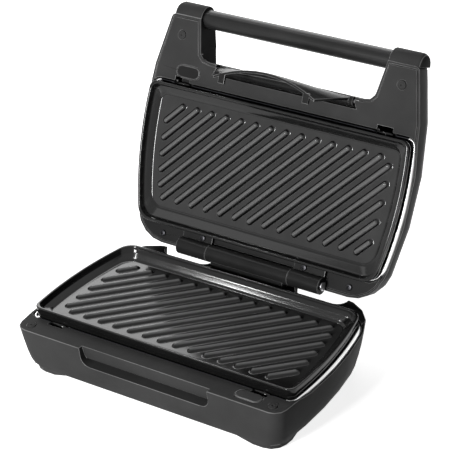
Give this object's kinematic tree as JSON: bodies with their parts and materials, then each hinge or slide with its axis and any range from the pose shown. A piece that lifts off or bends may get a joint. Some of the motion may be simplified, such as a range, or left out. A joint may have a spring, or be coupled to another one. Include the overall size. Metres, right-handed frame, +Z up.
{
  "type": "sandwich and waffle maker",
  "caption": "Countertop contact cooker: a hinged lid with a round bar handle and bow latch opens over a base, each with a removable non-stick plate of diagonal ribs",
  "frame": {"origin": "centre of the bounding box at table level, with the lid open as pictured", "axes": "+X to the user's right along the hinge, +Y to the rear, +Z up; the front faces -Y"},
  "size_m": [0.2664, 0.26, 0.235],
  "materials": {
    "housing": "fine texture",
    "trim": "satin",
    "non_stick": "semi-gloss non-stick coating",
    "bright_steel": "polished",
    "zinc": "zinc plated",
    "heater": "heat-tinted",
    "rubber": "matte",
    "ceramic": "glazed",
    "lens_red": "clear",
    "lens_green": "clear"
  },
  "bodies": {
    "base": {"base_housing": "housing", "base_bottom_cover": "trim", "base_cover_screw_front_left": "zinc", "base_cover_screw_front_right": "zinc", "base_cover_screw_rear_left": "zinc", "base_cover_screw_rear_right": "zinc", "base_reflector_tray": "bright_steel", "base_corner_plug_left": "trim", "base_corner_plug_right": "trim", "thermal_fuse": "ceramic", "terminal_block": "ceramic", "cord_gland": "rubber", "hinge_barrel": "trim", "hinge_pin": "zinc", "foot_front_left": "rubber", "foot_front_right": "rubber", "foot_rear_left": "rubber", "foot_rear_right": "rubber", "lower_heating_element": "heater", "lower_heater_clip_front": "zinc", "lower_heater_clip_left": "zinc", "lower_heater_clip_right": "zinc", "lower_thermostat": "zinc", "lower_catch_guide": "trim", "lower_button_spring": "zinc"},
    "lid": {"lid_housing": "housing", "lid_front_frame": "housing", "lid_rear_frame": "trim", "lid_frame_screw_outer_right": "zinc", "lid_frame_screw_outer_left": "zinc", "lid_frame_screw_inner_right": "zinc", "lid_frame_screw_inner_left": "zinc", "lid_reflector_tray": "bright_steel", "lid_corner_plug_right": "trim", "lid_corner_plug_left": "trim", "hinge_knuckle_right": "trim", "hinge_knuckle_left": "trim", "handle_bar": "housing", "latch_pin_right": "zinc", "latch_pin_left": "zinc", "indicator_lens_power": "lens_red", "indicator_lens_ready": "lens_green", "indicator_lamps": "ceramic", "upper_heating_element": "heater", "upper_heater_clip_front": "zinc", "upper_heater_clip_right": "zinc", "upper_heater_clip_left": "zinc", "upper_thermostat": "zinc", "upper_catch_guide": "trim", "upper_button_spring": "zinc"},
    "lower_plate": {"lower_plate": "non_stick"},
    "lower_button": {"lower_release_button": "trim"},
    "lower_catch": {"lower_release_catch": "trim"},
    "upper_plate": {"upper_plate": "non_stick"},
    "upper_button": {"upper_release_button": "trim"},
    "upper_catch": {"upper_release_catch": "trim"},
    "latch": {"lid_latch": "trim"}
  },
  "joints": [
    {"name": "lid_hinge", "type": "hinge", "parent": "base", "child": "lid", "pos_m": [0, 0.02601, 0.05505], "axis": [1, 0, 0], "range_deg": [0, 114]},
    {"name": "latch_pivot", "type": "hinge", "parent": "lid", "child": "latch", "pos_m": [0, 0.09721, 0.19126], "axis": [1, 0, 0], "range_deg": [-20, 0]},
    {"name": "lower_button_press", "type": "slide", "parent": "base", "child": "lower_button", "axis": [0, 0, 1], "range_m": [-0.002, 0], "stiffness_N_per_m": 300, "springref_m": 0.001},
    {"name": "lower_catch_slide", "type": "slide", "parent": "base", "child": "lower_catch", "axis": [0, 1, 0], "range_m": [-0.002, 0]},
    {"name": "upper_button_press", "type": "slide", "parent": "lid", "child": "upper_button", "axis": [0, -0.9135, 0.4067], "range_m": [-0.002, 0], "stiffness_N_per_m": 300, "springref_m": 0.001},
    {"name": "upper_catch_slide", "type": "slide", "parent": "lid", "child": "upper_catch", "axis": [0, -0.4067, -0.9135], "range_m": [-0.002, 0]},
    {"name": "lower_plate_lift", "type": "slide", "parent": "base", "child": "lower_plate", "axis": [0, 0, -1], "range_m": [-0.06, 0]},
    {"name": "upper_plate_lift", "type": "slide", "parent": "lid", "child": "upper_plate", "axis": [0, 0.9135, -0.4067], "range_m": [-0.025, 0]}
  ],
  "couplings": [
    {"joint": "lower_catch_slide", "follows": "lower_button_press", "ratio": 1},
    {"joint": "upper_catch_slide", "follows": "upper_button_press", "ratio": 1}
  ]
}
